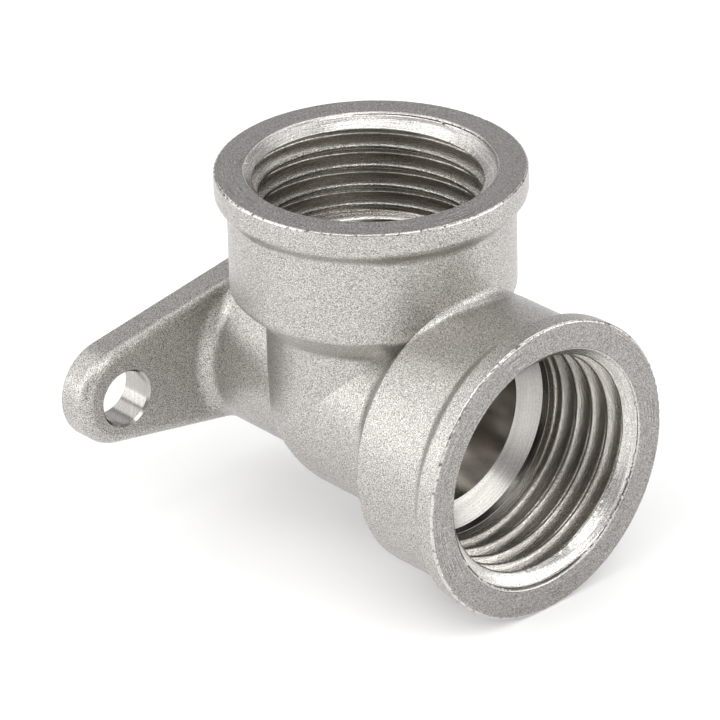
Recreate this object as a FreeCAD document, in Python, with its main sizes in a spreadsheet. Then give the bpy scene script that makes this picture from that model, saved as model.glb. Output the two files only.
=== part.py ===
import FreeCAD, Part
import math
import os
import Sketcher

# Wall plate elbow for water pipe, forged in one piece, millimetres.
# The wall face is the plane Y = 0 and the wall is on its +Y side. The outlet
# points along -Y, the inlet points up along +Z, and the two ears of the flange
# reach out along X. The part's origin is where the outlet axis meets the wall.

doc = FreeCAD.newDocument("wall_plate_elbow")
sheet = doc.addObject("Spreadsheet::Sheet", "Sizes")

SIZES = [
    # G 1/2 thread, bored at its major diameter, and the water way behind it
    ("thread_major_radius", 10.478),
    ("thread_length", 8.8),
    ("thread_runout", 0.7),
    ("mouth_bevel", 0.15),
    ("plain_bore_step", 1.178),
    ("plain_bore_length", 0.75),
    ("seat_depth", 1.14),
    ("passage_radius", 7.35),
    ("passage_overrun", 2.8),
    ("drill_point_depth", 4.4),
    # Sockets and the collars round their mouths
    ("inlet_reach", 20.5),
    ("outlet_reach", 20.8),
    ("socket_wall", 1.522),
    ("collar_overhang", 1.0),
    ("inlet_collar_height", 2.1),
    ("outlet_collar_height", 1.8),
    ("collar_root_round", 0.9),
    ("collar_back_round", 0.7),
    ("collar_face_round", 0.2),
    ("inlet_shoulder_setback", 2.0),
    ("outlet_shoulder_setback", 1.1),
    ("inlet_shoulder_round", 0.6),
    # Neck that turns the corner between the sockets
    ("neck_wall", 1.75),
    ("neck_root_round", 1.2),
    ("valley_round", 0.9),
    # Boss and flange against the wall
    ("axis_to_wall", 16.0),
    ("boss_radius", 7.7),
    ("boss_blend", 1.4),
    ("flange_rise", 0.25),
    ("flange_root_inset", 0.35),
    ("flange_thickness", 3.05),
    ("flange_front_round", 1.1),
    ("flange_back_round", 0.25),
    ("ear_reach", 16.75),
    ("ear_tip_radius", 4.45),
    ("ear_hole_inset", 0.25),
    ("ear_hole_radius", 2.4),
    ("ear_hole_bevel", 0.2),
]
for row, (name, amount) in enumerate(SIZES, start=1):
    sheet.set(f"A{row}", name)
    sheet.set(f"B{row}", str(amount))
    sheet.setAlias(f"B{row}", name)
doc.recompute()

# Sizes that follow from others, as sums of their names
SOCKET_RADIUS = "thread_major_radius + socket_wall"
COLLAR_RADIUS = f"{SOCKET_RADIUS} + collar_overhang"
INLET_SHOULDER = f"{SOCKET_RADIUS} - inlet_shoulder_setback"
OUTLET_SHOULDER = f"{SOCKET_RADIUS} - outlet_shoulder_setback"
NECK_RADIUS = "passage_radius + neck_wall"
FLANGE_ROOT_RADIUS = "boss_radius - flange_root_inset"
FLANGE_FRONT = "axis_to_wall - flange_thickness"
EAR_HOLE_REACH = "ear_reach - ear_hole_inset"

# The body's own origin is the point where the two port axes meet.
body = doc.addObject("PartDesign::Body", "elbow_body")
body.Label = "elbow_body"
body.setExpression("Placement.Base.y", "-Sizes.axis_to_wall")
plane = {feature.Role: feature for feature in body.Origin.OriginFeatures}


def total(terms):
    """The number that a sum of named sizes comes to, such as "- axis_to_wall + bore_depth"."""
    sign, answer = 1, 0.0
    for word in terms.split():
        if word in ("+", "-"):
            sign = 1 if word == "+" else -1
        else:
            answer += sign * float(sheet.get(word))
    return answer


def bound(terms):
    """The same sum as an expression on the sheet."""
    return " ".join(word if word in ("+", "-") else f"Sizes.{word}" for word in terms.split())


def opposite(terms):
    """The same sum with every sign turned round."""
    turned_words = {"+": "-", "-": "+"}
    words = terms.split()
    if words and words[0] not in turned_words:
        words.insert(0, "+")
    return " ".join(turned_words.get(word, word) for word in words)


def new_sketch(name, role, offset=""):
    """An empty sketch on one of the body's origin planes, moved along its normal by a sum of sizes."""
    sketch = body.newObject("Sketcher::SketchObject", name)
    sketch.AttachmentSupport = [(plane[role], "")]
    sketch.MapMode = "FlatFace"
    if offset:
        sketch.setExpression("AttachmentOffset.Base.z", bound(offset))
    return sketch


def hold(sketch, kind, geometry, vertex, terms):
    """Holds a coordinate or a radius of a sketch at a sum of sizes, where an empty sum is the axis itself."""
    if not terms:
        axis = -2 if kind == "DistanceX" else -1
        sketch.addConstraint(Sketcher.Constraint("PointOnObject", geometry, vertex, axis))
        return
    where = (geometry,) if kind == "Radius" else (geometry, vertex)
    index = sketch.addConstraint(Sketcher.Constraint(kind, *where, total(terms)))
    sketch.setExpression(f"Constraints[{index}]", bound(terms))


def place(sketch, geometry, vertex, across, up):
    """Holds a vertex of a sketch at a place."""
    hold(sketch, "DistanceX", geometry, vertex, across)
    hold(sketch, "DistanceY", geometry, vertex, up)


def outline(name, role, corners):
    """A closed sketch through corners (across, up), or (across, up, round) where the corner is rounded."""
    sketch = new_sketch(name, role)
    spots = [FreeCAD.Vector(total(corner[0]), total(corner[1]), 0) for corner in corners]
    ends = []
    for i, corner in enumerate(corners):
        before = (spots[i] - spots[i - 1]).normalize()
        after = (spots[(i + 1) % len(spots)] - spots[i]).normalize()
        setback = total(corner[2]) * math.tan(before.getAngle(after) / 2) if len(corner) > 2 else 0.0
        ends.append((spots[i] - before * setback, spots[i] + after * setback, before, after))
    lines = []
    for i in range(len(corners)):
        following = ends[(i + 1) % len(corners)]
        lines.append(sketch.addGeometry(Part.LineSegment(ends[i][1], following[0]), False))
    for i, corner in enumerate(corners):
        start, end, before, after = ends[i]
        if len(corner) < 3:
            sketch.addConstraint(Sketcher.Constraint("Coincident", lines[i - 1], 2, lines[i], 1))
            place(sketch, lines[i], 1, corner[0], corner[1])
            continue
        radius = total(corner[2])
        left_turn = before.cross(after).z > 0
        side = FreeCAD.Vector(-before.y, before.x, 0) * (radius if left_turn else -radius)
        centre = start + side
        middle = centre + ((start - centre) + (end - centre)).normalize() * radius
        arc = sketch.addGeometry(Part.Arc(start, middle, end), False)
        first, last = (1, 2) if left_turn else (2, 1)
        sketch.addConstraint(Sketcher.Constraint("Tangent", lines[i - 1], 2, arc, first))
        sketch.addConstraint(Sketcher.Constraint("Tangent", arc, last, lines[i], 1))
        hold(sketch, "Radius", arc, 0, corner[2])
        corner_point = sketch.addGeometry(Part.Point(spots[i]), True)
        sketch.addConstraint(Sketcher.Constraint("PointOnObject", corner_point, 1, lines[i - 1]))
        sketch.addConstraint(Sketcher.Constraint("PointOnObject", corner_point, 1, lines[i]))
        place(sketch, corner_point, 1, corner[0], corner[1])
    return sketch


def circles(name, centres, radius):
    """A sketch on the wall plane with a circle round each centre (across, up)."""
    sketch = new_sketch(name, "XZ_Plane", "- axis_to_wall")
    for across, up in centres:
        centre = FreeCAD.Vector(total(across), total(up), 0)
        circle = sketch.addGeometry(Part.Circle(centre, FreeCAD.Vector(0, 0, 1), total(radius)), False)
        place(sketch, circle, 3, across, up)
        hold(sketch, "Radius", circle, 0, radius)
    return sketch


def flange_outline():
    """The flange seen from the front: two ear tips and a round middle, joined by tangent lines.

    As forged it sits a little higher than the screw holes and the boss.
    """
    sketch = new_sketch("flange_outline", "XZ_Plane", "- axis_to_wall")
    lean = math.asin((total(FLANGE_ROOT_RADIUS) - total("ear_tip_radius")) / total("ear_reach"))
    quarter = math.pi / 2
    arcs = []
    for across, radius, start, end in (
        ("ear_reach", "ear_tip_radius", lean - quarter, quarter - lean),
        ("", FLANGE_ROOT_RADIUS, quarter - lean, quarter + lean),
        ("- ear_reach", "ear_tip_radius", quarter + lean, 3 * quarter - lean),
        ("", FLANGE_ROOT_RADIUS, 3 * quarter - lean, 3 * quarter + lean),
    ):
        centre = FreeCAD.Vector(total(across), total("flange_rise"), 0)
        circle = Part.Circle(centre, FreeCAD.Vector(0, 0, 1), total(radius))
        arc = Part.ArcOfCircle(circle, start, end)
        arcs.append((sketch.addGeometry(arc, False), arc, across, radius))
    for i, (before, before_arc, across, radius) in enumerate(arcs):
        after, after_arc = arcs[(i + 1) % len(arcs)][:2]
        line = sketch.addGeometry(Part.LineSegment(before_arc.EndPoint, after_arc.StartPoint), False)
        sketch.addConstraint(Sketcher.Constraint("Tangent", before, 2, line, 1))
        sketch.addConstraint(Sketcher.Constraint("Tangent", line, 2, after, 1))
        place(sketch, before, 3, across, "flange_rise")
        hold(sketch, "Radius", before, 0, radius)
    return sketch


def pad(name, sketch, length):
    """Material grown from the wall plane towards the outlet."""
    feature = body.newObject("PartDesign::Pad", name)
    feature.Profile = sketch
    feature.setExpression("Length", bound(length))
    doc.recompute()


def turned(kind, name, corners, along_outlet):
    """A Revolution or Groove of corners (radius, along the port axis) about one of the port axes."""
    if along_outlet:
        places = [(opposite(corner[1]), corner[0], *corner[2:]) for corner in corners]
    else:
        places = corners
    sketch = outline(f"{name}_outline", "YZ_Plane", places)
    feature = body.newObject(f"PartDesign::{kind}", name)
    feature.Profile = sketch
    feature.ReferenceAxis = (sketch, ["H_Axis" if along_outlet else "V_Axis"])
    feature.Angle = 360.0
    doc.recompute()


def edge_treatment(kind, name, size_name, wanted):
    """A fillet or chamfer on the body's edges that the test picks out."""
    base = body.Tip
    edges = [f"Edge{i}" for i, edge in enumerate(base.Shape.Edges, start=1) if wanted(edge)]
    feature = body.newObject(f"PartDesign::{kind}", name)
    feature.Base = (base, edges)
    feature.setExpression("Radius" if kind == "Fillet" else "Size", bound(size_name))
    doc.recompute()


def lies_at(edge, axis, terms):
    """Whether the whole edge lies in the plane across an axis at a sum of sizes."""
    box = edge.BoundBox
    low, high = getattr(box, f"{axis}Min"), getattr(box, f"{axis}Max")
    return abs(low - total(terms)) < 0.01 and abs(high - total(terms)) < 0.01


def middle_of(edge):
    return edge.valueAt((edge.FirstParameter + edge.LastParameter) / 2)


def where_boss_meets_flange(edge):
    middle = middle_of(edge)
    on_boss = abs(math.hypot(middle.x, middle.z) - total("boss_radius")) < 0.01
    return on_boss and abs(middle.x) > 1 and edge.BoundBox.YMin > 1 and not lies_at(edge, "Y", "axis_to_wall")


def where_sockets_meet(edge):
    box = edge.BoundBox
    clear_of_inlet_shoulder = box.ZMin > total(INLET_SHOULDER) + 0.01
    clear_of_outlet_shoulder = box.YMax < -total(OUTLET_SHOULDER) + 0.01
    inside = box.ZMax < total(COLLAR_RADIUS) and box.YMin > -total(COLLAR_RADIUS)
    return clear_of_inlet_shoulder and clear_of_outlet_shoulder and inside and box.XLength > 1


def on_inlet_shoulder(edge):
    return lies_at(edge, "Z", INLET_SHOULDER) and abs(edge.Curve.Radius - total(SOCKET_RADIUS)) < 0.01


def on_hole_front(edge):
    front = lies_at(edge, "Y", FLANGE_FRONT)
    return front and type(edge.Curve).__name__ == "Circle" and edge.Curve.Radius < total("ear_hole_radius") + 0.01


# The flange, and the boss that stands on it
pad("flange_plate", flange_outline(), "flange_thickness")
edge_treatment("Fillet", "flange_front_edges", "flange_front_round",
               lambda edge: lies_at(edge, "Y", FLANGE_FRONT))
pad("boss", circles("boss_outline", [("", "")], "boss_radius"), "axis_to_wall")
edge_treatment("Fillet", "boss_root", "boss_blend", where_boss_meets_flange)

# The neck and the two sockets, with 45 degree shoulders and 45 degrees under the collars
ball = body.newObject("PartDesign::AdditiveSphere", "neck_ball")
ball.setExpression("Radius", bound(NECK_RADIUS))
doc.recompute()
for port, along_outlet in (("inlet", False), ("outlet", True)):
    turned("Revolution", f"{port}_socket", [
        ("", ""),
        (NECK_RADIUS, ""),
        (NECK_RADIUS, f"{NECK_RADIUS} - {port}_shoulder_setback", "neck_root_round"),
        (SOCKET_RADIUS, f"{SOCKET_RADIUS} - {port}_shoulder_setback"),
        (SOCKET_RADIUS, f"{port}_reach - {port}_collar_height - collar_overhang", "collar_root_round"),
        (COLLAR_RADIUS, f"{port}_reach - {port}_collar_height", "collar_back_round"),
        (COLLAR_RADIUS, f"{port}_reach", "collar_face_round"),
        ("", f"{port}_reach"),
    ], along_outlet)
edge_treatment("Fillet", "socket_valley", "valley_round", where_sockets_meet)
edge_treatment("Fillet", "inlet_shoulder_edge", "inlet_shoulder_round", on_inlet_shoulder)

# The bores for the threads, the seats behind them and the passage that joins them
for port, along_outlet in (("inlet", False), ("outlet", True)):
    thread_end = f"{port}_reach - thread_length"
    plain_start = f"{thread_end} - thread_runout"
    seat_top = f"{plain_start} - plain_bore_length"
    turned("Groove", f"{port}_bore", [
        ("", f"{port}_reach"),
        ("thread_major_radius + mouth_bevel", f"{port}_reach"),
        ("thread_major_radius", f"{port}_reach - mouth_bevel"),
        ("thread_major_radius", thread_end),
        ("thread_major_radius - plain_bore_step", plain_start),
        ("thread_major_radius - plain_bore_step", seat_top),
        ("passage_radius", f"{seat_top} - seat_depth"),
        ("passage_radius", "- passage_overrun"),
        ("", "- passage_overrun - drill_point_depth"),
    ], along_outlet)

# The screw holes in the ears
holes = body.newObject("PartDesign::Pocket", "ear_holes")
holes.Profile = circles("ear_hole_outline", [(EAR_HOLE_REACH, ""), (opposite(EAR_HOLE_REACH), "")],
                         "ear_hole_radius")
holes.Type = "ThroughAll"
holes.Reversed = True
doc.recompute()
edge_treatment("Chamfer", "ear_hole_edges", "ear_hole_bevel", on_hole_front)
edge_treatment("Fillet", "flange_back_edges", "flange_back_round",
               lambda edge: lies_at(edge, "Y", "axis_to_wall")
               and not (type(edge.Curve).__name__ == "Circle" and edge.Curve.Radius < total("ear_tip_radius") - 0.01))

for thing in doc.Objects:
    if "Invalid" in thing.State or "Error" in thing.State:
        raise RuntimeError(f"{thing.Name} did not build")
if body.Shape.isNull() or not body.Shape.isValid() or len(body.Shape.Solids) != 1:
    raise RuntimeError("elbow_body is not one sound solid")

os.makedirs("parts", exist_ok=True)
body.Shape.exportStep("parts/elbow_body.step")
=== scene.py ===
import math
import random

import bmesh
import bpy
from mathutils import Matrix, Vector, noise


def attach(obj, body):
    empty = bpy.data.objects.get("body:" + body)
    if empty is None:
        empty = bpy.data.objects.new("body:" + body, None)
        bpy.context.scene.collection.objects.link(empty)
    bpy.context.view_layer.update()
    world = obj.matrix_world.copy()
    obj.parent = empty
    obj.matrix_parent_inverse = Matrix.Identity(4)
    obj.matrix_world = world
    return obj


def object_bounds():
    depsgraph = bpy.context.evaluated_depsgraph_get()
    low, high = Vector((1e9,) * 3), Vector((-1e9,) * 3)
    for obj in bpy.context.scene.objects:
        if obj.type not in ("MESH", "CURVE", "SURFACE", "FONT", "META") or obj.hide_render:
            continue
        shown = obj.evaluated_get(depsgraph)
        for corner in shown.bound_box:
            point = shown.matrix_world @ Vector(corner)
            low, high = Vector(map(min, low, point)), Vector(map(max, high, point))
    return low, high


bl_info = {
    "name": "Wall Plate Elbow",
    "version": (1, 0, 0),
    "blender": (4, 5, 0),
    "location": "3D View > Sidebar > Elbow",
    "description": "Threads, machined faces and plating of a forged wall plate elbow",
    "category": "Object",
}

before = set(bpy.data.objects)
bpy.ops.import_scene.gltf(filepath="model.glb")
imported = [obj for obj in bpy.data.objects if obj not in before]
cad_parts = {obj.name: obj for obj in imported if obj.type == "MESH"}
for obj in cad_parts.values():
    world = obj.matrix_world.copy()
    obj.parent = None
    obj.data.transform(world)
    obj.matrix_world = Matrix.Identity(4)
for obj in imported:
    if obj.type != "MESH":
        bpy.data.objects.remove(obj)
CAD_BOX = [list(corner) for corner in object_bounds()]
MM = 0.001

# The two port axes meet here. Each port is its outward axis and two directions
# across it, which make a right-handed set seen from outside.
MEETING_POINT = Vector((0.0, -16.0, 0.0)) * MM
PORTS = {
    "inlet": (Vector((0, 0, 1)), Vector((1, 0, 0)), Vector((0, 1, 0))),
    "outlet": (Vector((0, -1, 0)), Vector((1, 0, 0)), Vector((0, 0, 1))),
}
# From the meeting point to each port's face, in millimetres
REACH = {"inlet": CAD_BOX[1][2] / MM, "outlet": (MEETING_POINT.y - CAD_BOX[0][1]) / MM}

# Where the body's finishes change, in millimetres. A face takes in what lies less than
# this under its port's reach, and its rim is the small round at its outer edge.
FACE_DEPTH = 0.03
RIM_RADIUS = 13.0
RIM_WIDTH = 0.19
# A port's bores: a radius just past the wall, then the middle and the half length of
# the stretch along the port's axis, from the meeting point
PLAIN_BORE_AND_SEAT = (9.6, 10.3, 1.2)
THREADED_BORE = (10.8, 16.0, 4.6)
PASSAGE = (7.5, 3.1, 6.1)
# A ball round the meeting point that holds the passages' drill points
DRILL_POINTS_RADIUS = 8.2
# The screw holes with their bevels, this far out to both sides
SCREW_HOLE_OUT = 16.5
SCREW_HOLE_RADIUS = 2.61

# The liners' first row lies this far under the face and their last this far past the
# thread, and both are sunk in the wall, so that no gap shows. In millimetres.
LINER_START = 0.03
LINER_OVERRUN = 0.05
LINER_SUNK = 0.08

# A 55 degree thread is cut from a sharp triangle this many pitches high
SHARP_TRIANGLE = 0.960491

# The countersink left a fine line under the cone's outer edge, deepest in the middle of
# the mouth's first stretch of beads, and tore the cone's inner edge. In millimetres,
# with depths from the mouth's face.
LINE_WIDTH = 0.1
LINE_DEEPEST = 0.16
TORN_FROM = 0.95
TORN_SPAN = 0.25
TORN_FURTHEST = 0.11
# One turn of the mouth walks through the noise on a circle of this radius: a larger
# one makes finer tears
TEAR_CIRCLE = 34
# The thread starts at this depth, where the cone ends
CONE_END = 1.3
# The crest comes in above this share of the ridge's height, over this much of it
CREST_FROM = 0.75
CREST_SPAN = 0.2

# Where beads of torn metal lie along each mouth: from and to which angle, in degrees
# from the port's first direction across it, and how many
BURR_STRETCHES = {
    "inlet": ((335, 395, 14), (115, 140, 6)),
    "outlet": ((292, 352, 74), (226, 246, 18), (10, 62, 14), (205, 226, 8)),
}
# A bead's top lies between these depths, in millimetres. The rest are shares of its
# size: how long it is along the edge, how high, how far it is sunk in the cone and
# how lumpy it is.
BEAD_TOP = (0.01, 0.05)
BEAD_LENGTH = (1.0, 2.2)
BEAD_HEIGHT = 0.8
BEAD_SUNK = 0.3
BEAD_LUMPS = 0.35
# How far apart the lumps are in the noise, and how far one radian round the mouth
# moves a bead through it, so that no two are alike
LUMP_SCALE = 9
LUMP_SHIFT = 40

# Between these lie nearly all values of a noise, and the upper patches of one
MOST_OF_NOISE = {"From Min": 0.3, "From Max": 0.7}
PATCHES = {"From Min": 0.54, "From Max": 0.66}

# Softboxes: azimuth round the part from the outlet and elevation, both in degrees,
# width and height in metres, and how bright the cloth is
SOFTBOXES = {
    "softbox_right": (33.5, 15, 0.48, 0.24, 1.65),
    "softbox_right_high": (-11.5, 45, 0.24, 0.24, 2.0),
    "softbox_right_back": (74.0, 52, 0.40, 0.26, 0.75),
    "softbox_left": (-116.5, 15, 0.46, 0.24, 1.6),
    "softbox_left_high": (-71.5, 45, 0.24, 0.24, 1.1),
    "softbox_left_side": (-116.5, 45, 0.30, 0.24, 1.5),
    "softbox_back_left": (-166.0, 46, 0.25, 0.25, 0.9),
    "softbox_back": (138.5, 27, 0.40, 0.20, 0.29),
    "softbox_front_top": (-41.5, 63, 0.44, 0.12, 1.9),
    "softbox_top_left": (-131.5, 75, 0.16, 0.30, 0.4),
    "softbox_strip": (90.0, 75, 0.07, 0.25, 2.6),
}
SOFTBOX_DISTANCE = 0.45

# The studio's greys by height, as the sine of the elevation: white at the horizon and
# dimmer from a little above it
STUDIO_GREYS = ((0.05, 1.0), (0.15, 0.45))
# Half the floor's width in metres, and how much it glows where it is seen
FLOOR_HALF = 3.0
FLOOR_GLOW = 0.16


class ThreadSizes(bpy.types.PropertyGroup):
    """The G 1/2 threads in the two mouths, in millimetres, with depths from the mouth's face."""

    pitch: bpy.props.FloatProperty(name="Pitch", description="Distance between turns", default=1.814)
    major_radius: bpy.props.FloatProperty(
        name="Major radius", description="Root of the thread", default=10.45)
    minor_radius: bpy.props.FloatProperty(
        name="Minor radius", description="Crest of the thread", default=9.316)
    rounding: bpy.props.FloatProperty(
        name="Rounding", description="How softly crests and roots turn", default=0.07)
    cone_radius: bpy.props.FloatProperty(
        name="Mouth cone radius", description="Where the 45 degree mouth cone meets the face", default=10.6)
    lip_depth: bpy.props.FloatProperty(
        name="Lip depth", description="Depth of the fine line that the countersink left under the edge",
        default=0.27)
    inlet_length: bpy.props.FloatProperty(
        name="Inlet length", description="Depth at which the inlet thread starts to run out", default=8.5)
    outlet_length: bpy.props.FloatProperty(
        name="Outlet length", description="Depth at which the outlet thread starts to run out", default=7.9)
    runout: bpy.props.FloatProperty(
        name="Run-out", description="Length over which the last turn fades", default=1.0)
    end: bpy.props.FloatProperty(
        name="End", description="Depth at which the thread gives way to the plain bore", default=9.56)
    inlet_turn: bpy.props.FloatProperty(
        name="Inlet start", description="Where the inlet thread starts, in turns", default=-0.12)
    outlet_turn: bpy.props.FloatProperty(
        name="Outlet start", description="Where the outlet thread starts, in turns", default=0.05)
    inlet_tear: bpy.props.FloatProperty(
        name="Inlet tear", description="How torn the inlet thread's crests are", default=1.0,
        min=0.0, max=1.0)
    outlet_tear: bpy.props.FloatProperty(
        name="Outlet tear", description="How torn the outlet thread's crests are", default=0.2,
        min=0.0, max=1.0)
    columns: bpy.props.IntProperty(
        name="Columns", description="Mesh columns round the bore", default=360, min=24)
    step: bpy.props.FloatProperty(
        name="Step", description="Mesh step along the bore", default=0.07, min=0.02)


class FinishColours(bpy.types.PropertyGroup):
    """Colours of the plated surfaces as sRGB hex, and the widths of their marks in millimetres."""

    blasted: bpy.props.StringProperty(
        name="Blasted nickel", description="Shot-blasted forging skin", default="B8B5B1")
    turned: bpy.props.StringProperty(
        name="Turned nickel", description="Faces turned on the lathe", default="9D9A97")
    bored: bpy.props.StringProperty(
        name="Bored nickel", description="Seats, plain bores and screw holes", default="B4B1AD")
    cone: bpy.props.StringProperty(name="Mouth cone", description="Freshly cut mouth cones", default="CECBC7")
    cut: bpy.props.StringProperty(
        name="Cut thread", description="Thin nickel on the flanks", default="C4BFB9")
    drilled: bpy.props.StringProperty(
        name="Drilled passage", description="Thin nickel inside", default="B4AFAA")
    # A lighter colour painted on the small round at each turned face's outer edge: a painted highlight
    edge: bpy.props.StringProperty(
        name="Rim highlight", description="Rim of the turned faces", default="CFCCC8")
    # The nicks are real dents, drawn only as colour: this dark grey is painted shade inside them
    nick_shade: bpy.props.StringProperty(
        name="Nick shade", description="Bottom of the nicks in the rims", default="7A7570")
    dimple: bpy.props.FloatProperty(name="Dimple", description="Width of a blasting dimple", default=0.085)
    pit: bpy.props.FloatProperty(name="Pit", description="Width of the turned faces' pits", default=0.115)
    swell: bpy.props.FloatProperty(
        name="Swell", description="Width of the forging's soft unevenness", default=1.6)
    tool_mark: bpy.props.FloatProperty(name="Tool mark", description="Feed of the turning tool", default=0.11)


class BurrSizes(bpy.types.PropertyGroup):
    """The beads of torn metal along the mouths, in millimetres."""

    smallest: bpy.props.FloatProperty(
        name="Smallest", description="Radius of the smallest bead", default=0.03)
    largest: bpy.props.FloatProperty(
        name="Largest", description="Radius of the largest bead", default=0.12)


class StageSetting(bpy.types.PropertyGroup):
    """The camera, in the photograph's place, with angles in degrees and lengths in millimetres."""

    azimuth: bpy.props.FloatProperty(
        name="Azimuth", description="Camera direction round the part", default=-41.512)
    elevation: bpy.props.FloatProperty(name="Elevation", description="Camera height angle", default=27.643)
    roll: bpy.props.FloatProperty(name="Roll", description="Camera roll", default=-1.463)
    distance: bpy.props.FloatProperty(name="Distance", description="Camera to meeting point", default=402.5)
    sensor: bpy.props.FloatProperty(name="Sensor", description="Width of the camera's sensor", default=36.0)
    lens: bpy.props.FloatProperty(name="Lens", description="Focal length for that sensor", default=238.95)
    pan: bpy.props.FloatVectorProperty(
        name="Pan", description="Aim point across and up", size=2, default=(1.2526, -2.4183))
    shift: bpy.props.FloatVectorProperty(
        name="Shift", description="Lens shift, in shares of the sensor", size=2, default=(-0.0017, -0.0046))


def linear(hex_colour):
    """An sRGB hex colour as a linear RGBA tuple."""
    parts = [int(hex_colour[i:i + 2], 16) / 255 for i in (0, 2, 4)]
    return (*[c / 12.92 if c <= 0.04045 else ((c + 0.055) / 1.055) ** 2.4 for c in parts], 1.0)


def ramp(value, start, span):
    """0 up to a start, 1 from a span past it on, and straight in between."""
    return min(1.0, max(0.0, (value - start) / span))


def direction(azimuth, elevation):
    """The way from the part to an azimuth, round from the outlet, and an elevation, both in radians."""
    level = math.cos(elevation)
    return Vector((math.sin(azimuth) * level, -math.cos(azimuth) * level, math.sin(elevation)))


def add_node(tree, kind, links=None, values=None, **settings):
    """A node with its settings, its incoming links (socket: output) and its socket values."""
    node = tree.nodes.new(kind)
    for name, value in settings.items():
        setattr(node, name, value)
    for socket, value in (values or {}).items():
        node.inputs[socket].default_value = value
    for socket, output in (links or {}).items():
        tree.links.new(output, node.inputs[socket])
    return node


def new_material(name):
    """An empty node material with its output and one Principled shader, set to metal."""
    material = bpy.data.materials.new(name)
    material.use_nodes = True
    tree = material.node_tree
    tree.nodes.clear()
    shader = add_node(tree, "ShaderNodeBsdfPrincipled", values={"Metallic": 1.0})
    add_node(tree, "ShaderNodeOutputMaterial", {"Surface": shader.outputs[0]})
    return material, tree, shader


def largest(tree, masks):
    """The union of some masks."""
    union = masks[0]
    for mask in masks[1:]:
        union = add_node(tree, "ShaderNodeMath", {0: union, 1: mask}, operation="MAXIMUM").outputs[0]
    return union


def port_masks(tree, port, x, across, along):
    """One port's face, rim and bores as masks, the passage's mask, and the distance from the port's axis."""
    flat = add_node(tree, "ShaderNodeCombineXYZ", {"X": x, "Y": across}).outputs[0]
    radius = add_node(tree, "ShaderNodeVectorMath", {0: flat}, operation="LENGTH").outputs["Value"]
    face = add_node(tree, "ShaderNodeMath", {0: along}, {1: (REACH[port] - FACE_DEPTH) * MM},
                    operation="GREATER_THAN").outputs[0]
    near_edge = add_node(tree, "ShaderNodeMath", {0: radius}, {1: RIM_RADIUS * MM, 2: RIM_WIDTH * MM},
                         operation="COMPARE").outputs[0]
    near_face = add_node(tree, "ShaderNodeMath", {0: along}, {1: (REACH[port] - RIM_WIDTH) * MM},
                         operation="GREATER_THAN").outputs[0]
    rim = add_node(tree, "ShaderNodeMath", {0: near_edge, 1: near_face}, operation="MULTIPLY").outputs[0]
    bores = []
    for widest, middle, half in (PLAIN_BORE_AND_SEAT, THREADED_BORE, PASSAGE):
        inside = add_node(tree, "ShaderNodeMath", {0: radius}, {1: widest * MM},
                          operation="LESS_THAN").outputs[0]
        between = add_node(tree, "ShaderNodeMath", {0: along}, {1: middle * MM, 2: half * MM},
                           operation="COMPARE").outputs[0]
        bore = add_node(tree, "ShaderNodeMath", {0: inside, 1: between}, operation="MULTIPLY")
        bores.append(bore.outputs[0])
    *bores, passage = bores
    return face, rim, bores, passage, radius


def finish_masks(tree, place):
    """The body's finishes by name, as masks, and the distance from the axis of the nearer port."""
    local = add_node(tree, "ShaderNodeVectorMath", {0: place}, {1: MEETING_POINT},
                     operation="SUBTRACT").outputs[0]
    x, y, z = add_node(tree, "ShaderNodeSeparateXYZ", {0: local}).outputs
    towards_outlet = add_node(tree, "ShaderNodeMath", {0: y}, {1: -1.0}, operation="MULTIPLY").outputs[0]
    turned, drilled, faces, rims, rings = [], [], [], [], []
    for port, across, along in (("inlet", y, z), ("outlet", z, towards_outlet)):
        face, rim, bores, passage, radius = port_masks(tree, port, x, across, along)
        faces.append(face)
        rims.append(rim)
        turned.extend(bores)
        drilled.append(passage)
        rings.append(radius)

    from_meeting = add_node(tree, "ShaderNodeVectorMath", {0: local}, operation="LENGTH").outputs["Value"]
    drill_points = add_node(tree, "ShaderNodeMath", {0: from_meeting}, {1: DRILL_POINTS_RADIUS * MM},
                            operation="LESS_THAN")
    drilled.append(drill_points.outputs[0])

    side = add_node(tree, "ShaderNodeMath", {0: x}, operation="ABSOLUTE").outputs[0]
    from_hole = add_node(tree, "ShaderNodeMath", {0: side}, {1: SCREW_HOLE_OUT * MM},
                         operation="SUBTRACT").outputs[0]
    hole_flat = add_node(tree, "ShaderNodeCombineXYZ", {"X": from_hole, "Y": z}).outputs[0]
    hole_radius = add_node(tree, "ShaderNodeVectorMath", {0: hole_flat}, operation="LENGTH").outputs["Value"]
    screw_holes = add_node(tree, "ShaderNodeMath", {0: hole_radius}, {1: SCREW_HOLE_RADIUS * MM},
                           operation="LESS_THAN")
    turned.append(screw_holes.outputs[0])

    face = largest(tree, faces)
    masks = {"turned": largest(tree, [face, *turned]), "drilled": largest(tree, drilled), "face": face,
             "rim": largest(tree, rims)}
    masks["machined"] = largest(tree, [masks["turned"], masks["drilled"], masks["rim"]])
    outlet_side = add_node(tree, "ShaderNodeMath", {0: towards_outlet, 1: z},
                           operation="GREATER_THAN").outputs[0]
    ring = add_node(tree, "ShaderNodeMix", {"Factor": outlet_side, "A": rings[0], "B": rings[1]},
                    data_type="FLOAT")
    return masks, ring.outputs["Result"]


def turning_marks(tree, place, ring, feed):
    """Rings that the tool left: a noise across the feed, which changes every few millimetres along it."""
    changes_along = 0.3 / MM
    across_feed = add_node(tree, "ShaderNodeCombineXYZ", {"X": ring}).outputs[0]
    across_feed = add_node(tree, "ShaderNodeVectorMath", {0: across_feed}, {3: 1 / (feed * MM)},
                           operation="SCALE").outputs[0]
    ring_place = add_node(tree, "ShaderNodeVectorMath", {0: place, 2: across_feed}, {1: (changes_along,) * 3},
                          operation="MULTIPLY_ADD").outputs[0]
    return add_node(tree, "ShaderNodeTexNoise", {"Vector": ring_place},
                    {"Scale": 1.0, "Detail": 2.0, "Roughness": 0.7}).outputs["Fac"]


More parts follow.
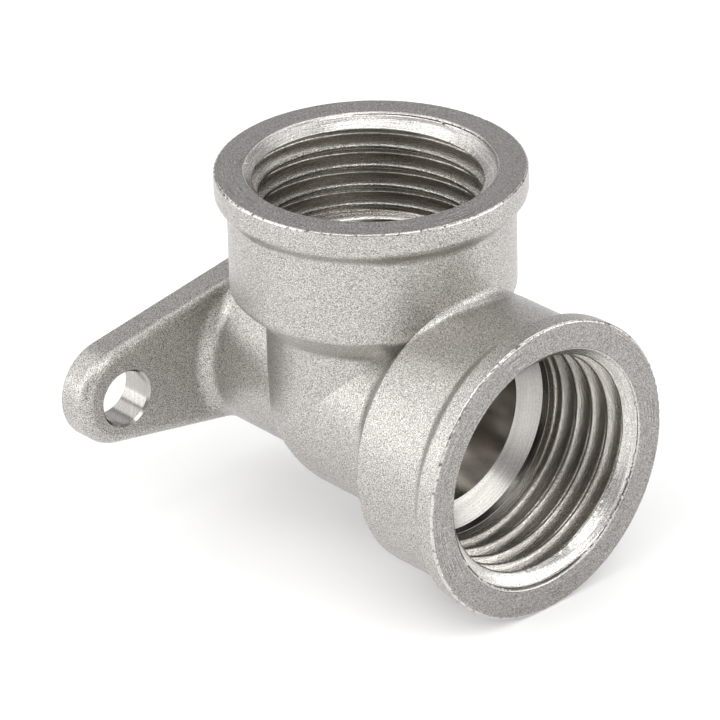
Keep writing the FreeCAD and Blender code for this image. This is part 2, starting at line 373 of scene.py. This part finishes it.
def skin_colour(tree, place, masks, colours):
    """Each finish's colour, with the rims lightened as a painted highlight and their nicks darkened as
    painted shade.
    """
    # Nicks in the rims, darkened as painted shade in their dents
    nick_width = 0.4 * MM
    dents = add_node(tree, "ShaderNodeTexNoise", {"Vector": place}, {"Scale": 1 / nick_width, "Detail": 4.0})
    deep = add_node(tree, "ShaderNodeMapRange", {"Value": dents.outputs["Fac"]}, PATCHES).outputs[0]
    nicks = add_node(tree, "ShaderNodeMath", {0: masks["rim"], 1: deep}, operation="MULTIPLY").outputs[0]
    plain = None
    # The rims' lighter colour is a painted highlight, and the nicks' dark colour is painted shade in their
    # dents
    for mask, colour in ((masks["turned"], colours.bored), (masks["face"], colours.turned),
                         (masks["drilled"], colours.drilled), (masks["rim"], colours.edge),
                         (nicks, colours.nick_shade)):
        mix = add_node(tree, "ShaderNodeMix", {"Factor": mask},
                       {"A": linear(colours.blasted), "B": linear(colour)}, data_type="RGBA")
        if plain:
            tree.links.new(plain, mix.inputs["A"])
        plain = mix.outputs["Result"]
    return plain


def skin_speckle(tree, place, masks, dimples, marks, colours):
    """Light and dark grains, as factors of the colour: coarse on the skin, ringed where it is cut."""
    grain = add_node(tree, "ShaderNodeMapRange", {"Value": dimples},
                     {**MOST_OF_NOISE, "To Min": 0.2, "To Max": 1.8}).outputs[0]
    # The bores and seats were cut cleaner than the faces
    clean = add_node(tree, "ShaderNodeMapRange", {"Value": dimples},
                     {**MOST_OF_NOISE, "To Min": 0.85, "To Max": 1.15}).outputs[0]
    pits = add_node(tree, "ShaderNodeTexNoise", {"Vector": place},
                    {"Scale": 1 / (colours.pit * MM), "Detail": 2.0, "Roughness": 0.8}).outputs["Fac"]
    pitted = add_node(tree, "ShaderNodeMapRange", {"Value": pits},
                      {**MOST_OF_NOISE, "To Min": 0.3, "To Max": 1.7}).outputs[0]
    cut_grain = add_node(tree, "ShaderNodeMix", {"Factor": masks["face"], "A": clean, "B": pitted},
                         data_type="FLOAT").outputs["Result"]
    # The rings are faint but for patches where the tool dug in
    patch_width = 2.6 * MM
    patches = add_node(tree, "ShaderNodeTexNoise", {"Vector": place},
                       {"Scale": 1 / patch_width, "Detail": 1.0}).outputs["Fac"]
    dug_in = add_node(tree, "ShaderNodeMapRange", {"Value": patches},
                      {**PATCHES, "To Min": 0.06, "To Max": 0.5}).outputs[0]
    ringed = add_node(tree, "ShaderNodeMix", {"Factor": masks["face"], "B": dug_in}, {"A": 0.1},
                      data_type="FLOAT").outputs["Result"]
    swing = add_node(tree, "ShaderNodeMapRange", {"Value": marks},
                     {**MOST_OF_NOISE, "To Min": -1.0, "To Max": 1.0}).outputs[0]
    streak = add_node(tree, "ShaderNodeMath", {0: swing, 1: ringed}, {2: 1.0},
                      operation="MULTIPLY_ADD").outputs[0]
    cut_grain = add_node(tree, "ShaderNodeMath", {0: cut_grain, 1: streak}, operation="MULTIPLY").outputs[0]
    return add_node(tree, "ShaderNodeMix", {"Factor": masks["machined"], "A": grain, "B": cut_grain},
                    data_type="FLOAT").outputs["Result"]


def forged_skin_material(colours):
    """Nickel-plated brass: shot-blasted forging skin, turned mouth faces, drilled water way.

    The blasted skin is a fine bright speckle over a soft unevenness. The turned faces are
    darker, with rings round the port axis. The drilled passages are duller and warmer.
    """
    material, tree, shader = new_material("shot_blasted_nickel_plated_brass")
    place = add_node(tree, "ShaderNodeTexCoord").outputs["Object"]
    masks, ring = finish_masks(tree, place)
    machined, face = masks["machined"], masks["face"]
    # Tilted, because a noise fades on a flat face that lies in a plane of its grid
    place = add_node(tree, "ShaderNodeMapping", {"Vector": place}, {"Rotation": (0.5, 0.8, 0.3)}).outputs[0]
    # A real blasting dimple is about 0.05 mm wide, drawn as wide as it needs to show
    dimples = add_node(tree, "ShaderNodeTexNoise", {"Vector": place},
                       {"Scale": 1 / (colours.dimple * MM), "Detail": 1.0, "Roughness": 0.7}).outputs["Fac"]
    swell = add_node(tree, "ShaderNodeTexNoise", {"Vector": place},
                     {"Scale": 1 / (colours.swell * MM), "Detail": 3.0}).outputs["Fac"]
    marks = turning_marks(tree, place, ring, colours.tool_mark)

    plain = skin_colour(tree, place, masks, colours)
    speckle = skin_speckle(tree, place, masks, dimples, marks, colours)
    colour = add_node(tree, "ShaderNodeVectorMath", {0: plain, 1: speckle}, operation="MULTIPLY").outputs[0]
    tree.links.new(colour, shader.inputs["Base Color"])

    skin_rough, bore_rough, face_rough = 0.36, 0.2, 0.24
    rough = add_node(tree, "ShaderNodeMapRange", {"Value": machined},
                     {"To Min": skin_rough, "To Max": bore_rough}).outputs[0]
    rough = add_node(tree, "ShaderNodeMix", {"Factor": face, "A": rough}, {"B": face_rough},
                     data_type="FLOAT").outputs["Result"]
    tree.links.new(rough, shader.inputs["Roughness"])

    swell_depth, dimple_depth = 0.05 * MM, 0.018 * MM
    forged = add_node(tree, "ShaderNodeMapRange", {"Value": machined},
                      {"To Min": 1.0, "To Max": 0.0}).outputs[0]
    soft = add_node(tree, "ShaderNodeBump", {"Height": swell, "Strength": forged},
                    {"Distance": swell_depth}).outputs[0]
    relief = add_node(tree, "ShaderNodeMix", {"Factor": machined, "A": dimples, "B": marks},
                      data_type="FLOAT").outputs["Result"]
    # Full on the skin, slight on the faces and barely there in the bores, which mirror the light
    on_skin, on_bores, on_faces = 1.0, 0.04, 0.12
    depth = add_node(tree, "ShaderNodeMapRange", {"Value": machined},
                     {"To Min": on_skin, "To Max": on_bores}).outputs[0]
    depth = add_node(tree, "ShaderNodeMix", {"Factor": face, "A": depth}, {"B": on_faces},
                     data_type="FLOAT").outputs["Result"]
    bump = add_node(tree, "ShaderNodeBump", {"Height": relief, "Normal": soft, "Strength": depth},
                    {"Distance": dimple_depth})
    tree.links.new(bump.outputs[0], shader.inputs["Normal"])
    return material


def cut_thread_material(colours):
    """Nickel over a cut brass thread: bright flanks and cone, with the tool's fine rings."""
    material, tree, shader = new_material("cut_thread_nickel_plated_brass")
    shader.inputs["Roughness"].default_value = 0.26
    place = add_node(tree, "ShaderNodeTexCoord").outputs["Object"]
    wrap = add_node(tree, "ShaderNodeUVMap", uv_map="unrolled").outputs[0]
    # The tool's rings change every few millimetres and lie under a tenth of one apart
    ring_length, ring_width = 4.0 * MM, 0.09 * MM
    stretched = add_node(tree, "ShaderNodeMapping", {"Vector": wrap},
                         {"Scale": (1 / ring_length, 1 / ring_width, 1.0)}).outputs[0]
    marks = add_node(tree, "ShaderNodeTexNoise", {"Vector": stretched},
                     {"Scale": 1.0, "Detail": 3.0, "Roughness": 0.7}).outputs["Fac"]
    dimples = add_node(tree, "ShaderNodeTexNoise", {"Vector": place},
                       {"Scale": 1 / (colours.dimple * MM), "Detail": 1.0}).outputs["Fac"]
    grain = add_node(tree, "ShaderNodeMapRange", {"Value": dimples},
                     {**MOST_OF_NOISE, "To Min": 0.6, "To Max": 1.4}).outputs[0]
    streak = add_node(tree, "ShaderNodeMapRange", {"Value": marks},
                      {**MOST_OF_NOISE, "To Min": 0.75, "To Max": 1.25}).outputs[0]
    speckle = add_node(tree, "ShaderNodeMath", {0: grain, 1: streak}, operation="MULTIPLY").outputs[0]
    # The tap's teeth tore the crests a little, which dulls them in grains
    crest = add_node(tree, "ShaderNodeAttribute", attribute_name="torn_crest").outputs["Fac"]
    dull = add_node(tree, "ShaderNodeMapRange", {"Value": dimples},
                    {"From Min": 0.35, "From Max": 0.65, "To Min": -0.75, "To Max": -0.15}).outputs[0]
    worn = add_node(tree, "ShaderNodeMath", {0: crest, 1: dull}, {2: 1.0},
                    operation="MULTIPLY_ADD").outputs[0]
    speckle = add_node(tree, "ShaderNodeMath", {0: speckle, 1: worn}, operation="MULTIPLY").outputs[0]
    # Less nickel reaches the thread than the cone above it, which ends about 1.3 mm down
    depth = add_node(tree, "ShaderNodeSeparateXYZ", {0: wrap}).outputs["Y"]
    below = add_node(tree, "ShaderNodeMapRange", {"Value": depth},
                     {"From Min": 1.15 * MM, "From Max": 1.35 * MM}).outputs[0]
    plain = add_node(tree, "ShaderNodeMix", {"Factor": below},
                     {"A": linear(colours.cone), "B": linear(colours.cut)},
                     data_type="RGBA").outputs["Result"]
    colour = add_node(tree, "ShaderNodeVectorMath", {0: plain, 1: speckle}, operation="MULTIPLY")
    tree.links.new(colour.outputs[0], shader.inputs["Base Color"])

    ring_depth, grain_depth = 0.01 * MM, 0.022 * MM
    rings = add_node(tree, "ShaderNodeBump", {"Height": marks},
                     {"Strength": 1.0, "Distance": ring_depth}).outputs[0]
    # The grains are full in the thread and slight in the cone
    grainy = add_node(tree, "ShaderNodeMapRange", {"Value": below}, {"To Min": 0.3, "To Max": 1.0}).outputs[0]
    bump = add_node(tree, "ShaderNodeBump", {"Height": dimples, "Normal": rings, "Strength": grainy},
                    {"Distance": grain_depth})
    tree.links.new(bump.outputs[0], shader.inputs["Normal"])
    return material


def burr_material(colours):
    """Nickel over torn brass: small bright beads with a rough side."""
    material, tree, shader = new_material("torn_nickel_plated_brass")
    # The beads take the rims' lighter colour, which is a painted highlight
    shader.inputs["Base Color"].default_value = linear(colours.edge)
    place = add_node(tree, "ShaderNodeTexCoord").outputs["Object"]
    tear_width = 0.05 * MM
    torn = add_node(tree, "ShaderNodeTexNoise", {"Vector": place},
                    {"Scale": 1 / tear_width, "Detail": 2.0}).outputs["Fac"]
    rough = add_node(tree, "ShaderNodeMapRange", {"Value": torn}, {"To Min": 0.15, "To Max": 0.5})
    tree.links.new(rough.outputs[0], shader.inputs["Roughness"])
    return material


def white_paper_material():
    """Matt white paper: it keeps the shadow, and a slight glow makes it white to the eye and in the metal."""
    material, tree, shader = new_material("matt_white_paper")
    shader.inputs["Metallic"].default_value = 0.0
    shader.inputs["Roughness"].default_value = 1.0
    shader.inputs["Base Color"].default_value = linear("F2F2F2")
    shader.inputs["Emission Color"].default_value = (1, 1, 1, 1)
    path = add_node(tree, "ShaderNodeLightPath").outputs
    seen = largest(tree, [path["Is Camera Ray"], path["Is Glossy Ray"], path["Is Transmission Ray"]])
    glow = add_node(tree, "ShaderNodeMath", {0: seen}, {1: FLOOR_GLOW}, operation="MULTIPLY")
    tree.links.new(glow.outputs[0], shader.inputs["Emission Strength"])
    return material


def soft_clip(height, rounding):
    """The height where it is above 0, turning softly to 0 below that.

    It is held under this many roundings, more than a thread is deep, to keep the exponent small.
    """
    most = 30.0
    return rounding * math.log1p(math.exp(min(most, height / rounding)))


def thread_radius(depth, turn, length, sizes, torn, line):
    """Radius of the bore wall at a depth and a place round the mouth, in millimetres and turns.

    The countersink's cone has a torn inner edge, and a line under its outer edge.
    """
    sharp = SHARP_TRIANGLE * sizes.pitch
    phase = depth / sizes.pitch + turn
    # A sixth of the triangle is missing at the crest, and about as much is clipped at the root
    flank = abs(2 * (phase - math.floor(phase)) - 1) * sharp - sharp / 6
    full = sizes.major_radius - sizes.minor_radius
    groove = full - soft_clip(full - soft_clip(flank, sizes.rounding), sizes.rounding)
    fade = ramp(length + sizes.runout - depth, 0.0, sizes.runout)
    cone = sizes.cone_radius - depth
    cone += line * math.exp(-((depth - sizes.lip_depth) / LINE_WIDTH) ** 2)
    cone += torn * ramp(depth, TORN_FROM, TORN_SPAN)
    return max(sizes.minor_radius + max(0.0, groove) * fade, cone)


def liner_mesh(port, sizes):
    """One mouth's wall: the cone, the thread and its run-out, with its own unrolled map."""
    outward, across, up = PORTS[port]
    start, length, tear = (getattr(sizes, f"{port}_{size}") for size in ("turn", "length", "tear"))
    line_start, line_end, _ = BURR_STRETCHES[port][0]
    most_cut = math.radians((line_start + line_end) / 2)
    columns = sizes.columns
    steps = int(sizes.end / sizes.step)
    depths = [LINER_START, *[i * sizes.step for i in range(1, steps + 1)], sizes.end + LINER_OVERRUN]
    last = len(depths) - 1
    corners, crests, faces, unrolled = [], [], [], []
    for row, depth in enumerate(depths):
        threaded = CONE_END < depth < length + 0.5 * sizes.runout
        for column in range(columns):
            share = column / columns
            angle = 2 * math.pi * share
            walk = Vector((math.cos(angle) * TEAR_CIRCLE, math.sin(angle) * TEAR_CIRCLE, 0))
            torn = TORN_FURTHEST * noise.noise(walk)
            line = LINE_DEEPEST * max(0.0, math.cos(angle - most_cut))
            radius = thread_radius(depth, share + start, length, sizes, torn, line)
            if row == 0:
                radius = sizes.cone_radius + LINER_SUNK
            elif row == last:
                radius = sizes.minor_radius + LINER_SUNK
            rise = (sizes.major_radius - radius) / (sizes.major_radius - sizes.minor_radius)
            crests.append(tear * ramp(rise, CREST_FROM, CREST_SPAN) if threaded else 0.0)
            point = across * math.cos(angle) + up * math.sin(angle)
            corners.append(MEETING_POINT + (point * radius + outward * (REACH[port] - depth)) * MM)
    around = 2 * math.pi * sizes.major_radius * MM
    for row in range(last):
        for column in range(columns):
            following = (column + 1) % columns
            faces.append((row * columns + column, row * columns + following,
                          (row + 1) * columns + following, (row + 1) * columns + column))
            for r, c in ((row, column), (row, column + 1), (row + 1, column + 1), (row + 1, column)):
                unrolled.append((around * c / columns, depths[r] * MM))
    mesh = bpy.data.meshes.new(f"{port}_thread")
    mesh.from_pydata(corners, [], faces)
    layer = mesh.uv_layers.new(name="unrolled")
    for loop, coordinate in zip(layer.data, unrolled):
        loop.uv = coordinate
    mesh.attributes.new("torn_crest", "FLOAT", "POINT").data.foreach_set("value", crests)
    mesh.shade_smooth()
    return mesh


def burr_mesh(port, sizes, cone_radius, rng):
    """Beads of torn metal along one mouth's edge, each a lumpy ball drawn out along it."""
    outward, across, up = PORTS[port]
    soup = bmesh.new()
    for start, end, count in BURR_STRETCHES[port]:
        for _ in range(count):
            angle = math.radians(rng.uniform(start, end))
            size = rng.uniform(sizes.smallest, sizes.largest)
            depth = size + rng.uniform(*BEAD_TOP)
            out = across * math.cos(angle) + up * math.sin(angle)
            round_edge = up * math.cos(angle) - across * math.sin(angle)
            centre = out * (cone_radius - depth - BEAD_SUNK * size) + outward * (REACH[port] - depth)
            bead = bmesh.ops.create_icosphere(soup, subdivisions=2, radius=size)["verts"]
            length = rng.uniform(*BEAD_LENGTH)
            shift = Vector((angle * LUMP_SHIFT, 0, 0))
            for vert in bead:
                vert.co *= 1 + BEAD_LUMPS * noise.noise(vert.co * LUMP_SCALE + shift)
                drawn = round_edge * vert.co.x * length + out * vert.co.y + outward * vert.co.z * BEAD_HEIGHT
                vert.co = MEETING_POINT + (centre + drawn) * MM
    mesh = bpy.data.meshes.new(f"{port}_burrs")
    soup.to_mesh(mesh)
    soup.free()
    mesh.shade_smooth()
    return mesh


def set_world(scene):
    """A pale studio: white at the horizon and dimmer towards the ceiling."""
    world = bpy.data.worlds.new("pale_studio")
    scene.world = world
    world.use_nodes = True
    tree = world.node_tree
    tree.nodes.clear()
    way = add_node(tree, "ShaderNodeTexCoord").outputs["Generated"]
    height = add_node(tree, "ShaderNodeSeparateXYZ", {0: way}).outputs["Z"]
    greys = add_node(tree, "ShaderNodeValToRGB", {"Fac": height})
    for element, (position, grey) in zip(greys.color_ramp.elements, STUDIO_GREYS):
        element.position = position
        element.color = (grey, grey, grey, 1)
    background = add_node(tree, "ShaderNodeBackground", {"Color": greys.outputs[0]})
    add_node(tree, "ShaderNodeOutputWorld", {"Surface": background.outputs[0]})


def add_floor(scene):
    """A plane of white paper under the lowest collar."""
    low = CAD_BOX[0][2]
    corners = [(-FLOOR_HALF, -FLOOR_HALF, low), (FLOOR_HALF, -FLOOR_HALF, low),
               (FLOOR_HALF, FLOOR_HALF, low), (-FLOOR_HALF, FLOOR_HALF, low)]
    mesh = bpy.data.meshes.new("floor")
    mesh.from_pydata(corners, [], [(0, 1, 2, 3)])
    mesh.materials.append(white_paper_material())
    floor = bpy.data.objects.new("floor", mesh)
    scene.collection.objects.link(floor)
    return floor


def add_softbox(scene, name, azimuth, elevation, width, height, brightness):
    """One softbox that faces the meeting point."""
    away = direction(math.radians(azimuth), math.radians(elevation))
    lamp = bpy.data.lights.new(name, "AREA")
    lamp.shape = "RECTANGLE"
    lamp.size, lamp.size_y = width, height
    lamp.energy = brightness * math.pi * width * height
    softbox = bpy.data.objects.new(name, lamp)
    softbox.location = MEETING_POINT + away * SOFTBOX_DISTANCE
    softbox.rotation_euler = (-away).to_track_quat("-Z", "Y").to_euler()
    scene.collection.objects.link(softbox)


def add_camera(scene, setting):
    """The camera, in the photograph's place."""
    azimuth, elevation, roll = (math.radians(v) for v in (setting.azimuth, setting.elevation, setting.roll))
    back = direction(azimuth, elevation)
    level = Vector((math.cos(azimuth), math.sin(azimuth), 0))
    upright = back.cross(level)
    right = level * math.cos(roll) + upright * math.sin(roll)
    up = upright * math.cos(roll) - level * math.sin(roll)
    place = MEETING_POINT + (back * setting.distance - right * setting.pan[0] - up * setting.pan[1]) * MM
    data = bpy.data.cameras.new("camera")
    data.sensor_width = setting.sensor
    data.lens = setting.lens
    data.shift_x, data.shift_y = setting.shift
    data.clip_start = 0.01
    camera = bpy.data.objects.new("camera", data)
    camera.matrix_world = Matrix.Translation(place) @ Matrix((right, up, back)).transposed().to_4x4()
    scene.collection.objects.link(camera)
    scene.camera = camera


class ELBOW_OT_body_finish(bpy.types.Operator):
    """Gives the forged body its blasted, turned and drilled finishes"""

    bl_idname = "elbow.body_finish"
    bl_label = "Finish the forged body"

    def execute(self, context):
        material = forged_skin_material(context.scene.elbow_finish)
        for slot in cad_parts["elbow_body"].material_slots:
            slot.material = material
        return {"FINISHED"}


class ELBOW_OT_threads(bpy.types.Operator):
    """Cuts the threads and mouth cones, as liners in the two bores"""

    bl_idname = "elbow.threads"
    bl_label = "Cut the threads"

    def execute(self, context):
        material = cut_thread_material(context.scene.elbow_finish)
        for port in PORTS:
            mesh = liner_mesh(port, context.scene.elbow_thread)
            mesh.materials.append(material)
            liner = bpy.data.objects.new(mesh.name, mesh)
            context.scene.collection.objects.link(liner)
            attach(liner, "root")
        return {"FINISHED"}


class ELBOW_OT_burrs(bpy.types.Operator):
    """Leaves beads of torn metal along the edges of the mouth cones"""

    bl_idname = "elbow.burrs"
    bl_label = "Leave the burrs"

    def execute(self, context):
        cone_radius = context.scene.elbow_thread.cone_radius
        material = burr_material(context.scene.elbow_finish)
        rng = random.Random(7)
        for port in PORTS:
            mesh = burr_mesh(port, context.scene.elbow_burr, cone_radius, rng)
            mesh.materials.append(material)
            burrs = bpy.data.objects.new(mesh.name, mesh)
            context.scene.collection.objects.link(burrs)
            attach(burrs, "root")
        return {"FINISHED"}


class ELBOW_OT_stage(bpy.types.Operator):
    """Sets the pale studio, the floor, the softboxes and the camera"""

    bl_idname = "elbow.stage"
    bl_label = "Set the stage"

    def execute(self, context):
        scene = context.scene
        scene.view_settings.view_transform = "Standard"
        set_world(scene)
        floor = add_floor(scene)
        for name, placing in SOFTBOXES.items():
            add_softbox(scene, name, *placing)
        add_camera(scene, scene.elbow_stage)
        return {"FINISHED"}


class ELBOW_PT_panel(bpy.types.Panel):
    """Lists the steps that dress the elbow"""

    bl_idname = "ELBOW_PT_panel"
    bl_label = "Wall plate elbow"
    bl_space_type = "VIEW_3D"
    bl_region_type = "UI"
    bl_category = "Elbow"

    def draw(self, context):
        for operator in OPERATORS:
            self.layout.operator(operator.bl_idname)
        for group_name, group in GROUPS.items():
            box = self.layout.box()
            for name in group.__annotations__:
                box.prop(getattr(context.scene, group_name), name)


OPERATORS = (ELBOW_OT_body_finish, ELBOW_OT_threads, ELBOW_OT_burrs, ELBOW_OT_stage)
GROUPS = {"elbow_thread": ThreadSizes, "elbow_burr": BurrSizes, "elbow_finish": FinishColours,
          "elbow_stage": StageSetting}


def register():
    for name, group in GROUPS.items():
        bpy.utils.register_class(group)
        setattr(bpy.types.Scene, name, bpy.props.PointerProperty(type=group))
    for operator in OPERATORS:
        bpy.utils.register_class(operator)
    bpy.utils.register_class(ELBOW_PT_panel)


def unregister():
    bpy.utils.unregister_class(ELBOW_PT_panel)
    for operator in reversed(OPERATORS):
        bpy.utils.unregister_class(operator)
    for name, group in GROUPS.items():
        delattr(bpy.types.Scene, name)
        bpy.utils.unregister_class(group)


def main():
    register()
    bpy.ops.elbow.body_finish()
    bpy.ops.elbow.threads()
    bpy.ops.elbow.burrs()
    bpy.ops.elbow.stage()


if __name__ == "__main__":
    main()
